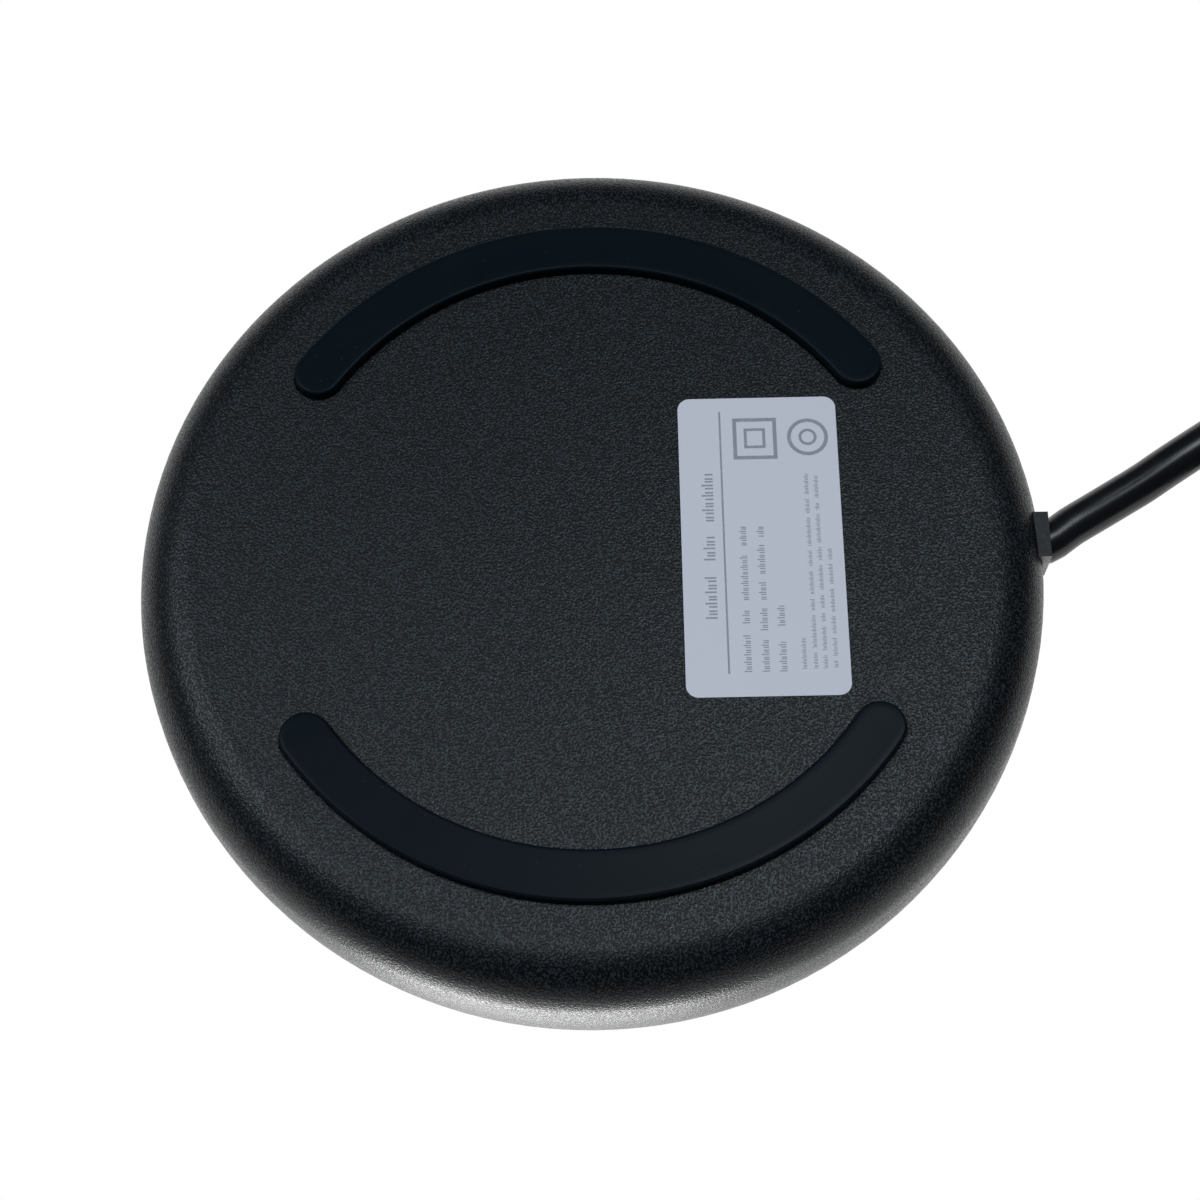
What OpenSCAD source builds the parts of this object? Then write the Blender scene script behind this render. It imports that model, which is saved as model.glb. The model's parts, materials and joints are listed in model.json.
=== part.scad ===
// Electric mug warmer: a round two-piece case that stands on two curved rubber feet, with a
// heating plate and two push buttons on top and a mains cord that leaves low at the back.
// Origin: centre of the case on the surface that the feet stand on. +Z up, +Y towards the cord.

/* [Case] */
// Outer diameter of the case at its widest
body_d = 119; // [117:1:140]
// Height of the case from its underside to its top face
body_h = 25.5; // [24.5:0.5:32]
// Height of the widest ring above the underside
widest_h = 11; // [10.5:0.5:13]
// Radius of the bulged side, seen in section
side_r = 35; // [34:1:60]
// Radius of the edge around the underside
bottom_edge_r = 7.5; // [7:0.1:8.5]
// Radius of the edge around the top face
top_edge_r = 3.4; // [2.8:0.1:3.8]
// Thickness of both covers
wall = 2; // [1.6:0.1:2.4]
// Depth of the top cover at the side, down to the seam
lid_h = 3.8; // [3.4:0.1:4.6]
// Depth of the groove that marks the seam
seam_depth = 0.5; // [0.2:0.1:0.8]
// Height of the groove that marks the seam
seam_w = 0.5; // [0.3:0.1:0.8]
// Length of the top cover's lip below the seam
lip_h = 2; // [1:0.1:3]
// Thickness of the top cover's lip
lip_t = 1.2; // [0.8:0.1:1.6]
// Clearance around the lip inside the bottom cover
lip_gap = 0.15; // [0.1:0.05:0.3]

/* [Feet and label] */
// Height of the feet below the underside
foot_h = 1.5; // [1:0.1:2.5]
// Depth of the groove that holds each foot
foot_recess = 0.6; // [0.3:0.1:1]
// Width of each foot strip
foot_w = 6.5; // [6.2:0.1:7.5]
// Distance from a foot's outer side to the end of the flat underside
foot_inset = 4.6; // [3.8:0.1:5]
// Angle between the centres of a foot's two round ends
foot_arc = 109; // [80:1:130]
// Clearance around each foot in its groove
foot_gap = 0.2; // [0.1:0.05:0.3]
// Chamfer around each foot's lower face
foot_chamfer = 0.3; // [0.1:0.1:0.5]
// Length of the rating label, side to side
label_l = 42; // [30:1:48]
// Width of the rating label, front to back
label_w = 20.8; // [14:0.2:22]
// Radius of the label's corners
label_r = 1.6; // [0.5:0.1:3]
// Thickness of the label
label_t = 0.15; // [0.1:0.05:0.3]
// Distance from the case's middle to the label's middle
label_y = 22.2; // [18:0.2:26]

/* [Case screws] */
// Thread diameter of the case screws
screw_d = 3; // [2.5:0.1:3.4]
// Length of a case screw below its head
screw_l = 12; // [9:1:14]
// Diameter of a case screw's head
screw_head_d = 5.4; // [4.8:0.1:5.8]
// Height of a case screw's head
screw_head_h = 2; // [1.4:0.1:2.4]
// Depth of the screw head's seat above the underside
screw_sink = 3.6; // [3.2:0.1:4.4]
// Angle of each case screw from the middle of its foot
screw_angle = 30; // [24:1:34]
// Outer diameter of the screw bosses in the bottom cover
boss_d = 8.4; // [7.8:0.1:9]
// Thickness of a boss above the screw head
boss_cap = 2.9; // [2:0.1:4]
// Outer diameter of the screw posts under the top cover
post_d = 6.6; // [6:0.1:7]

/* [Heating plate] */
// Diameter of the heating plate
plate_d = 80; // [76:1:82]
// Thickness of the heating plate
plate_t = 1.5; // [1.2:0.1:2]
// Height of the plate above the case's top face
plate_proud = 1; // [0.5:0.1:1.2]
// Radius of the plate's upper edge
plate_edge_r = 0.5; // [0.2:0.1:0.8]
// Width of the ledge that carries the plate
ledge_w = 2.6; // [2.2:0.1:3.2]
// Thickness of the ledge that carries the plate
ledge_t = 2.1; // [1.8:0.1:2.8]
// Thickness of the silicone seal under the plate
seal_t = 0.5; // [0.4:0.1:0.8]
// Thickness of the seal's lip around the plate
seal_lip = 0.5; // [0.4:0.1:0.8]
// Clearance between the plate, its seal and the case
seal_gap = 0.1; // [0.05:0.05:0.2]
// Thickness of the heating element
heater_t = 0.8; // [0.6:0.1:1]
// Thickness of each mica sheet
mica_t = 0.4; // [0.2:0.1:0.5]
// Thickness of the plate that clamps the heating element
clamp_t = 0.8; // [0.6:0.1:1.2]
// Width of the clamp plate's rim under the ledge
clamp_rim = 2; // [1.5:0.1:2.2]
// Thickness of the insulating pad under the clamp plate
pad_t = 2.4; // [1.5:0.1:2.6]
// Diameter of the three studs under the heating plate
stud_d = 3; // [2.5:0.1:3.5]
// Radius of the circle on which the studs stand
stud_ring_r = 30; // [26:1:32]
// Width of the stud nuts across their flats
nut_w = 5.5; // [5:0.1:6]
// Height of the stud nuts
nut_h = 2.4; // [1.8:0.1:2.8]
// Diameter of the temperature sensor's probe
sensor_d = 4; // [3:0.5:5]
// Diameter of the thermal fuse
fuse_d = 3.8; // [3:0.1:4.2]
// Length of the thermal fuse
fuse_l = 11; // [8:1:14]

/* [Buttons and lights] */
// Diameter of each button
button_d = 9; // [8:0.5:9.5]
// Height of a button above the case's top face
button_proud = 0.8; // [0.6:0.1:1.2]
// Distance that a button travels when pressed
button_travel = 0.6; // [0.3:0.1:0.8]
// Radial clearance around each button
button_gap = 0.3; // [0.2:0.05:0.4]
// Width of the rim that keeps a button in the cover
button_rim = 1; // [0.8:0.1:1.2]
// Thickness of that rim
button_rim_t = 1; // [0.8:0.1:1.4]
// Play between that rim and the cover
button_play = 0.1; // [0.05:0.05:0.2]
// Angle of each button from the middle of the front
button_angle = 16; // [14:1:20]
// Diameter of a button's stem
stem_d = 4; // [3:0.5:5]
// Number of indicator lights
lights = 3; // [1:1:3]
// Diameter of each indicator lens
lens_d = 2.2; // [1.6:0.1:2.4]
// Distance between indicator lights
lens_pitch = 4.2; // [4:0.1:4.6]
// Height of the lenses above the case's top face
lens_proud = 0.15; // [0.1:0.05:0.3]

/* [Control board] */
// Height of the posts that carry the control board
board_post_h = 6; // [5:0.5:7]
// Thickness of the control board
board_t = 1.6; // [1:0.2:2]
// Length of the control board, side to side
board_l = 66; // [62:1:68]
// Distance from the case's middle to the board's straight edge
board_y = 28; // [27:0.5:30]
// Clearance between the board's curved edge and the case
board_gap = 3.5; // [2.5:0.5:4]
// Diameter of the board's posts
board_post_d = 5; // [4.4:0.1:5.6]
// Thread diameter of the board's screws
board_screw_d = 2.2; // [2:0.1:2.6]
// Length of a board screw below its head
board_screw_l = 5; // [4:0.5:6]
// Width of each push switch
switch_w = 6.2; // [5:0.1:7]
// Height of each push switch
switch_h = 3.5; // [3:0.1:5]
// Diameter of a switch's plunger
plunger_d = 3.4; // [3:0.1:3.6]
// Height of a plunger above its switch
plunger_h = 1.5; // [1.2:0.1:2]
// Clearance around a plunger in its switch
plunger_gap = 0.2; // [0.1:0.05:0.3]
// Length of a plunger inside its switch
plunger_depth = 1.6; // [1:0.1:2]
// Diameter of each light-emitting diode
led_d = 3; // [2:0.5:3.5]
// Height of each diode's straight part
led_h = 3; // [2:0.5:4]

/* [Cord and plug] */
// Outer diameter of the cord
cord_d = 5.4; // [5.4]
// Distance of the cord's exit to the side of the case's middle
exit_x = 2.2; // [0:0.1:3]
// Height of the cord's exit above the underside
exit_h = 6.9; // [6.5:0.1:7.3]
// Width and height of the bushing's outer end
bushing_w = 6.4; // [6.2:0.1:7.4]
// Distance of the bushing's outer end from the case's middle, beyond the case's radius
bushing_proud = 0.5; // [0:0.1:0.6]
// Amount by which the bushing's neck is slimmer than its ends, each side
neck_step = 0.3; // [0.2:0.05:0.4]
// Length of the bushing's inner end
bushing_in = 4; // [3:0.5:6]
// Length of cord inside the case, behind the bushing
cord_tail = 9; // [6:1:12]
// Diameter of the conductors inside the case
lead_d = 1.7; // [1.4:0.1:1.8]
// Width of the plug
plug_w = 24; // [20:1:26]
// Thickness of the plug
plug_t = 14; // [12:0.5:14]
// Length of the plug without its blades and boot
plug_l = 24; // [20:1:26]
// Length of the plug's tapered boot
boot_l = 20; // [20:1:24]
// Distance between the middles of the two blades
blade_pitch = 12.7; // [12.7]
// Width of each blade
blade_w = 6.35; // [6.35]
// Thickness of each blade
blade_t = 1.5; // [1.5]
// Length of each blade outside the plug
blade_l = 16.5; // [15:0.1:18]
// Width of the tie around the coiled cord
tie_w = 8; // [5:0.5:12]
// Thickness of that tie
tie_t = 0.6; // [0.4:0.1:1]

/* [Hidden] */
$fn = 96;
case_black = [0.13, 0.14, 0.16];
rubber_black = [0.08, 0.09, 0.11];
cord_black = [0.06, 0.07, 0.09];
metal = [0.72, 0.73, 0.75];
plastic_white = [0.86, 0.87, 0.9];

// Levels, from the surface that the feet stand on
base_z = foot_h;
top_z = base_z + body_h;
floor_z = base_z + wall;
ceil_z = top_z - wall;
seam_z = top_z - lid_h;
widest_z = base_z + widest_h;

// Section of the case: one large arc for the side, one small arc for each edge
edge_proud = 0.005; // each edge arc stands this far proud of the side arc, so the two cross
side_c = [body_d / 2 - side_r, widest_z];
low_c = [
    section_x(side_r - bottom_edge_r + edge_proud, bottom_edge_r - widest_h),
    base_z + bottom_edge_r
];
high_c = [
    section_x(side_r - top_edge_r + edge_proud, body_h - top_edge_r - widest_h),
    top_z - top_edge_r
];
low_dir = (low_c - side_c) / norm(low_c - side_c);
high_dir = (high_c - side_c) / norm(high_c - side_c);

// Feet and case screws
foot_mid_r = low_c[0] - foot_inset - foot_w / 2;
screw_seat_z = base_z + screw_sink;
boss_top_z = screw_seat_z + boss_cap;

// Heating plate and what is clamped under it, from the top down
plate_z = top_z + plate_proud - plate_t;
seat_z = plate_z - seal_t;
ledge_z = seat_z - ledge_t;
seat_r = plate_d / 2 + 2 * seal_gap + seal_lip;
seat_wall = 2;
opening_r = plate_d / 2 - ledge_w;
plate_boss_h = plate_z - ledge_z - heater_t - 2 * mica_t;
plate_boss_r = opening_r - 0.4;
heater_r = plate_boss_r - 0.5;
clamp_z = ledge_z - clamp_t;
clamp_r = opening_r + clamp_rim;
stud_angles = [30, 150, 270];
stud_end_z = clamp_z - nut_h - 0.7;
stud_gap = 0.3;
sensor_flange_t = 1.2;
sensor_flange_r = sensor_d / 2 + 2.5;
nut_clear_r = nut_w / 2 / cos(30) + 1;
pad_r = stud_ring_r + nut_clear_r + 1;
fuse_pos = [12, 12];

// Buttons, lights and the board under them
button_ring_r = (seat_r + seat_wall + high_c[0]) / 2;
button_places = [for (s = [-1, 1]) [s * sin(button_angle), -cos(button_angle)] * button_ring_r];
button_rim_z = ceil_z - button_play - button_rim_t;
board_z = floor_z + board_post_h;
board_top_z = board_z + board_t;
board_r = inner_r(board_z) - board_gap;
board_posts = [
    for (s = [-1, 1])
        each [
            [s * (board_l / 2 - 4), -board_y - 4],
            [s * (board_l / 2 - 9), 4.3 - sqrt(board_r * board_r - pow(board_l / 2 - 9, 2))]
        ]
];
switch_top_z = board_top_z + switch_h;
plunger_top_z = switch_top_z + plunger_h;
light_places = [for (i = [0:lights - 1]) [(i - (lights - 1) / 2) * lens_pitch, -button_ring_r]];
led_top_z = board_top_z + led_h + led_d / 2;
triac_pos = [15, -33];
dropper_pos = [-14, -34];
smoother_pos = [2, -34];

// Bushing and cord
exit_z = base_z + exit_h;
bushing_end_y = body_d / 2 + bushing_proud;
bushing_in_y = inner_r(exit_z) - bushing_in;
cord_end_y = bushing_in_y - cord_tail;
cord_facets = 12;
coil_c = [4, 131];
coil_inner_r = 23.3;
coil_outer_r = 39.5;
coil_low_z = tie_t;
coil_top_z = tie_t + 2 * cord_d;
tie_angle = 250;
plug_end = [2, 177, 7];
cord_points = [
    [exit_x, bushing_end_y, exit_z], [4.4, 63.3, 8.2], [6.1, 66.5, 7.5], [7.7, 69.7, 6.5],
    [9.3, 72.9, 5.4], [11.1, 76, 4.4], [13.6, 80.3, 3.4], [17.1, 86, 2.9], [21.3, 92, 2.8],
    [25.5, 98, 2.8], [29.8, 104, 3], [34, 110, 3.3]
];
plug_cord_points = [
    [32.2, 154.7, 8.7], [28.3, 159.3, 8.6], [24.5, 163.9, 8.3], [20.6, 168.5, 7.8],
    [15.5, 173, 7.3], [9, 176.2, 7], plug_end
];

// Distance from the axis at which an arc of radius r about side_c's radius meets height dz
function section_x(r, dz) = body_d / 2 - side_r + sqrt(r * r - dz * dz);
function inner_r(z) = section_x(side_r - wall, z - widest_z);

// Rings of a swept tube: each ring's side direction is carried along from the last one
function unit(v) = v / norm(v);
function tangent(c, i) = unit(c[min(i + 1, len(c) - 1)] - c[max(i - 1, 0)]);
function flatten(v, t) = unit(v - (v * t) * t);
function end_direction(c, i, ends) = i == 0 ? ends[0] : i == len(c) - 1 ? ends[1] : undef;
function carry(c, i, v, ends) =
    i == len(c) ? []
    : let (e = end_direction(c, i, ends), t = e == undef ? tangent(c, i) : e, s = flatten(v, t))
        concat([[t, s]], carry(c, i + 1, s, ends));
function ring(p, frame, r, n) = [
    for (k = [0:n - 1])
        p + r * (cos(360 * k / n) * frame[1] + sin(360 * k / n) * cross(frame[0], frame[1]))
];
function spline(p, i, t) =
    let (
        a = p[max(i - 1, 0)],
        b = p[i],
        c = p[i + 1],
        d = p[min(i + 2, len(p) - 1)]
    )
    0.5 * (2 * b + (c - a) * t + (2 * a - 5 * b + 4 * c - d) * t * t + (3 * b - a - 3 * c + d) * t * t * t);
function smooth(p, n) = [
    for (i = [0:len(p) - 2])
        for (k = [0:n - 1])
            spline(p, i, k / n),
    p[len(p) - 1]
];

// Half section of the case, moved inwards by inset
module case_section(inset) {
    polygon([
        [0, base_z + inset],
        [low_c[0], base_z + inset],
        low_c,
        high_c,
        [high_c[0], top_z - inset],
        [0, top_z - inset]
    ]);
    translate(low_c) circle(bottom_edge_r - inset);
    translate(high_c) circle(top_edge_r - inset);
    intersection() {
        translate(side_c) circle(side_r - inset);
        polygon([
            side_c,
            side_c + 2 * side_r * low_dir,
            side_c + [3 * side_r, 0],
            side_c + 2 * side_r * high_dir
        ]);
    }
}

// Curved strip with round ends, centred on +X, larger than a foot by grow all round
module foot_strip(z, h, grow) {
    rotate([0, 0, -foot_arc / 2])
        rotate_extrude(angle = foot_arc)
            translate([foot_mid_r - foot_w / 2 - grow, z]) square([foot_w + 2 * grow, h]);
    for (s = [-1, 1])
        rotate([0, 0, s * foot_arc / 2])
            translate([foot_mid_r, 0, z]) cylinder(r = foot_w / 2 + grow, h = h);
}

module foot() {
    h = foot_h + foot_recess;
    half = foot_w / 2;
    half_section = [
        [0, 0],
        [half - foot_chamfer, 0],
        [half, foot_chamfer],
        [half, h],
        [0, h]
    ];
    rotate([0, 0, -foot_arc / 2])
        rotate_extrude(angle = foot_arc)
            translate([foot_mid_r, 0]) {
                polygon(half_section);
                mirror([1, 0]) polygon(half_section);
            }
    for (s = [-1, 1])
        rotate([0, 0, s * foot_arc / 2])
            translate([foot_mid_r, 0, 0]) rotate_extrude() polygon(half_section);
}

module at_case_screws() {
    for (side = [0, 180])
        for (s = [-1, 1])
            rotate([0, 0, side + s * screw_angle]) translate([foot_mid_r, 0, 0]) children();
}

module at_board_posts() {
    for (p = board_posts)
        translate(p) children();
}

// Pan-head screw that points along +Z, with the underside of its head at the origin
module screw(d, l, head_d, head_h) {
    difference() {
        translate([0, 0, -head_h]) cylinder(d = head_d, h = head_h);
        for (a = [0, 90])
            rotate([0, 0, a])
                translate([-head_d * 0.28, -0.4, -head_h]) cube([head_d * 0.56, 0.8, head_h / 2]);
    }
    cylinder(d = d, h = l);
}

module rounded_rect(size, r) {
    square([size[0] - 2 * r, size[1]], center = true);
    square([size[0], size[1] - 2 * r], center = true);
    for (x = [-1, 1])
        for (y = [-1, 1])
            translate([x * (size[0] / 2 - r), y * (size[1] / 2 - r)]) circle(r);
}

// Round tube of radius r along the points, with n sides; ends are the directions of its two ends
module tube(points, r, n, side, ends) {
    frames = carry(points, 0, side, ends);
    rings = [for (i = [0:len(points) - 1]) each ring(points[i], frames[i], r, n)];
    last = (len(points) - 1) * n;
    walls = [
        for (i = [0:len(points) - 2])
            for (k = [0:n - 1])
                let (a = i * n + k, b = i * n + (k + 1) % n)
                    each [[a, b + n, b], [a, a + n, b + n]]
    ];
    start_cap = [for (k = [0:n - 1]) k];
    end_cap = [for (k = [n - 1:-1:0]) last + k];
    polyhedron(rings, concat(walls, [start_cap, end_cap]));
}

module bottom_cover() {
    color(case_black)
        difference() {
            union() {
                rotate_extrude() difference() {
                    intersection() {
                        case_section(0);
                        square([body_d, seam_z]);
                    }
                    case_section(wall);
                }
                at_case_screws()
                    translate([0, 0, floor_z - wall / 2])
                        cylinder(d = boss_d, h = boss_top_z - floor_z + wall / 2);
                at_board_posts()
                    translate([0, 0, floor_z - wall / 2])
                        cylinder(d = board_post_d, h = board_z - floor_z + wall / 2);
            }
            rotate_extrude()
                translate([section_x(side_r, seam_z - widest_z) - seam_depth, seam_z - seam_w])
                    square([2 * seam_depth, 2 * seam_w]);
            for (side = [0, 180])
                rotate([0, 0, side]) foot_strip(base_z - 1, foot_recess + 1, foot_gap);
            at_case_screws() {
                cylinder(d = screw_d + 0.4, h = body_h);
                cylinder(d = screw_head_d + 0.6, h = screw_seat_z);
            }
            at_board_posts()
                translate([0, 0, board_z - board_screw_l])
                    cylinder(d = board_screw_d + 0.1, h = board_screw_l + 1);
            translate([exit_x, body_d / 2, exit_z])
                bushing_block(body_d / 2 - bushing_in_y + 0.1, 0.1 - neck_step);
            translate([exit_x - cord_d / 2 - 0.3, cord_end_y - 1, exit_z - cord_d / 2 - 0.2])
                cube([cord_d + 0.6, bushing_in_y - cord_end_y + 2, cord_d]);
        }
}

module top_cover() {
    boss_depth = screw_seat_z + screw_l + 1 - boss_top_z;
    color(case_black)
        difference() {
            union() {
                rotate_extrude() {
                    difference() {
                        intersection() {
                            case_section(0);
                            translate([0, seam_z]) square([body_d, lid_h + 1]);
                        }
                        case_section(wall);
                        square([opening_r, top_z + 1]);
                    }
                    translate([inner_r(seam_z) - lip_gap - lip_t, seam_z - lip_h])
                        square([lip_t, lip_h + lid_h - wall]);
                    translate([opening_r, ledge_z])
                        square([seat_r + seat_wall - opening_r, top_z - wall / 2 - ledge_z]);
                }
                at_case_screws()
                    translate([0, 0, boss_top_z])
                        cylinder(d = post_d, h = ceil_z + wall / 2 - boss_top_z);
            }
            translate([0, 0, seat_z]) cylinder(r = seat_r, h = body_h);
            translate([0, 0, ledge_z - 1]) cylinder(r = opening_r, h = body_h);
            at_case_screws()
                translate([0, 0, boss_top_z - 1])
                    cylinder(d = screw_d + 0.1, h = boss_depth + 1);
            for (p = button_places)
                translate([p[0], p[1], 0]) {
                    cylinder(d = button_d + 2 * button_gap, h = body_h + base_z + 1);
                    cylinder(d = button_d + 2 * button_rim + 2 * button_gap, h = ceil_z);
                }
            for (p = light_places)
                translate([p[0], p[1], ceil_z - 1]) cylinder(d = lens_d + 0.1, h = body_h);
        }
}

module left_foot() {
    color(rubber_black) rotate([0, 0, 180]) foot();
}

module right_foot() {
    color(rubber_black) foot();
}

module rating_label() {
    color(plastic_white)
        translate([0, label_y, base_z - label_t])
            linear_extrude(label_t) rounded_rect([label_l, label_w], label_r);
}

module case_screws() {
    color(metal)
        at_case_screws()
            translate([0, 0, screw_seat_z]) screw(screw_d, screw_l, screw_head_d, screw_head_h);
}

module heating_plate() {
    r = plate_d / 2;
    color([0.2, 0.2, 0.21]) {
        rotate_extrude() {
            translate([0, plate_z]) square([r, plate_t - plate_edge_r]);
            translate([0, plate_z]) square([r - plate_edge_r, plate_t]);
            translate([r - plate_edge_r, plate_z + plate_t - plate_edge_r]) circle(plate_edge_r);
            translate([0, plate_z - plate_boss_h]) square([plate_boss_r, plate_boss_h]);
        }
        at_studs()
            translate([0, 0, stud_end_z])
                cylinder(d = stud_d, h = plate_z - stud_end_z);
    }
}

module at_studs() {
    for (a = stud_angles)
        rotate([0, 0, a]) translate([stud_ring_r, 0, 0]) children();
}

module plate_seal() {
    color([0.16, 0.16, 0.17])
        rotate_extrude() {
            translate([opening_r, seat_z]) square([seat_r - seal_gap - opening_r, seal_t]);
            translate([seat_r - seal_gap - seal_lip, seat_z])
                square([seal_lip, top_z - seat_z]);
        }
}

// Disc with a hole in its middle for the sensor and three for the studs
module stacked_disc(r, z, t) {
    difference() {
        translate([0, 0, z]) cylinder(r = r, h = t);
        translate([0, 0, z - 1]) cylinder(d = sensor_d + 2 * stud_gap, h = t + 2);
        at_studs()
            translate([0, 0, z - 1]) cylinder(d = stud_d + 2 * stud_gap, h = t + 2);
    }
}

module upper_mica_sheet() {
    color([0.75, 0.7, 0.58]) stacked_disc(heater_r, ledge_z + mica_t + heater_t, mica_t);
}

module heating_element() {
    color([0.55, 0.5, 0.42]) stacked_disc(heater_r - 1, ledge_z + mica_t, heater_t);
}

module lower_mica_sheet() {
    color([0.75, 0.7, 0.58]) stacked_disc(heater_r, ledge_z, mica_t);
}

module clamp_plate() {
    color(metal) stacked_disc(clamp_r, clamp_z, clamp_t);
}

module clamp_nuts() {
    color(metal)
        at_studs()
            translate([0, 0, clamp_z - nut_h])
                difference() {
                    cylinder(d = nut_w / cos(30), h = nut_h, $fn = 6);
                    translate([0, 0, -1]) cylinder(d = stud_d + 0.1, h = nut_h + 2);
                }
}

module insulating_pad() {
    color([0.88, 0.87, 0.83])
        difference() {
            translate([0, 0, clamp_z - pad_t]) cylinder(r = pad_r, h = pad_t);
            at_studs()
                translate([0, 0, clamp_z - pad_t - 1]) cylinder(r = nut_clear_r, h = pad_t + 2);
            translate([0, 0, clamp_z - pad_t - 1])
                cylinder(r = sensor_flange_r + 1, h = pad_t + 2);
            translate([fuse_pos[0] + 3, fuse_pos[1], clamp_z - pad_t / 2])
                cube([fuse_l + 14, fuse_d + 2, pad_t + 2], center = true);
        }
}

module thermal_fuse() {
    color([0.85, 0.8, 0.7])
        translate([fuse_pos[0], fuse_pos[1], clamp_z - fuse_d / 2])
            rotate([0, 90, 0]) {
                cylinder(d = fuse_d, h = fuse_l, center = true);
                cylinder(d = 1, h = fuse_l + 6, center = true);
            }
}

module temperature_sensor() {
    color([0.5, 0.32, 0.2]) {
        translate([0, 0, clamp_z - sensor_flange_t])
            cylinder(d = sensor_d, h = plate_z - plate_boss_h - clamp_z + sensor_flange_t);
        translate([0, 0, clamp_z - sensor_flange_t])
            cylinder(r = sensor_flange_r, h = sensor_flange_t);
    }
}

module button() {
    edge = 0.5;
    top = top_z + button_proud;
    color([0.1, 0.1, 0.11])
        rotate_extrude() {
            translate([0, button_rim_z]) square([button_d / 2, top - edge - button_rim_z]);
            translate([0, top - edge]) square([button_d / 2 - edge, edge]);
            translate([button_d / 2 - edge, top - edge]) circle(edge);
            translate([0, button_rim_z]) square([button_d / 2 + button_rim, button_rim_t]);
            translate([0, plunger_top_z]) square([stem_d / 2, button_rim_z - plunger_top_z]);
        }
}

module power_button() {
    translate(button_places[0]) button();
}

module temperature_button() {
    translate(button_places[1]) button();
}

module plunger() {
    color([0.3, 0.3, 0.32])
        translate([0, 0, switch_top_z - plunger_depth])
            cylinder(d = plunger_d, h = plunger_h + plunger_depth);
}

module power_switch_plunger() {
    translate(button_places[0]) plunger();
}

module temperature_switch_plunger() {
    translate(button_places[1]) plunger();
}

module push_switches() {
    depth = plunger_depth + button_travel + 0.2;
    color([0.12, 0.12, 0.13])
        for (p = button_places)
            translate([p[0], p[1], board_top_z])
                difference() {
                    translate([-switch_w / 2, -switch_w / 2, 0])
                        cube([switch_w, switch_w, switch_h]);
                    translate([0, 0, switch_h - depth])
                        cylinder(d = plunger_d + 2 * plunger_gap, h = depth + 1);
                }
}

module indicator_lenses() {
    color([0.85, 0.88, 0.92])
        for (p = light_places)
            translate([p[0], p[1], led_top_z + 0.3]) {
                cylinder(d = lens_d, h = top_z + lens_proud - led_top_z - 0.3);
                cylinder(d = lens_d + 1.2, h = ceil_z - led_top_z - 0.3);
            }
}

module indicator_leds() {
    color([0.8, 0.85, 0.9])
        for (p = light_places)
            translate([p[0], p[1], board_top_z])
                rotate_extrude() {
                    square([led_d / 2, led_h]);
                    intersection() {
                        translate([0, led_h]) circle(d = led_d);
                        square(led_h + led_d);
                    }
                }
}

module control_board() {
    color([0.1, 0.35, 0.18])
        difference() {
            intersection() {
                translate([0, 0, board_z]) cylinder(r = board_r, h = board_t);
                translate([-board_l / 2, -body_d / 2, board_z])
                    cube([board_l, body_d / 2 - board_y, board_t]);
            }
            at_board_posts()
                translate([0, 0, board_z - 1]) cylinder(d = board_screw_d + 0.4, h = board_t + 2);
        }
}

module board_screws() {
    color(metal)
        at_board_posts()
            translate([0, 0, board_top_z])
                mirror([0, 0, 1])
                    screw(board_screw_d, board_screw_l, 1.9 * board_screw_d, 1.5);
}

module dropper_capacitor() {
    color([0.8, 0.66, 0.15])
        translate([dropper_pos[0], dropper_pos[1], board_top_z + 4])
            cube([13, 5.5, 8], center = true);
}

module smoothing_capacitor() {
    color([0.15, 0.2, 0.4])
        translate([smoother_pos[0], smoother_pos[1], board_top_z]) cylinder(d = 6.3, h = 7.5);
}

module triac() {
    color([0.1, 0.1, 0.1])
        translate([triac_pos[0], triac_pos[1], board_top_z]) {
            translate([0, 0, 2.5])
                difference() {
                    cylinder(d = 4.8, h = 4.8);
                    translate([-3, 1.2, -1]) cube([6, 3, 7]);
                }
            for (x = [-1.27, 0, 1.27])
                translate([x, 0, 0]) cylinder(d = 0.6, h = 3);
        }
}

// Leads run from the cord's inner end, under the heater, to the board's straight edge
module mains_leads() {
    for (s = [-1, 1]) {
        color(s < 0 ? [0.1, 0.1, 0.1] : [0.9, 0.9, 0.88])
            tube(
                smooth([
                    [exit_x + s * 1.2, cord_end_y, exit_z],
                    [exit_x + s * 1.6 - 1, cord_end_y - 6, exit_z - 0.4],
                    [-7 + s * 1.6, 20, floor_z + 2.8],
                    [-17 + s * 1.4, 0, floor_z + 3.3],
                    [-22 + s * 1.4, -16, floor_z + 6.3],
                    [-24 + s * 1.4, -board_y + 3, board_top_z + 3.4],
                    [-24 + s * 1.4, -board_y - 2.5, board_top_z + 3.2],
                    [-24 + s * 1.4, -board_y - 4, board_top_z]
                ], 3),
                lead_d / 2, 8, [1, 0, 0], [[0, -1, 0], [0, 0, -1]]
            );
    }
}

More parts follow.
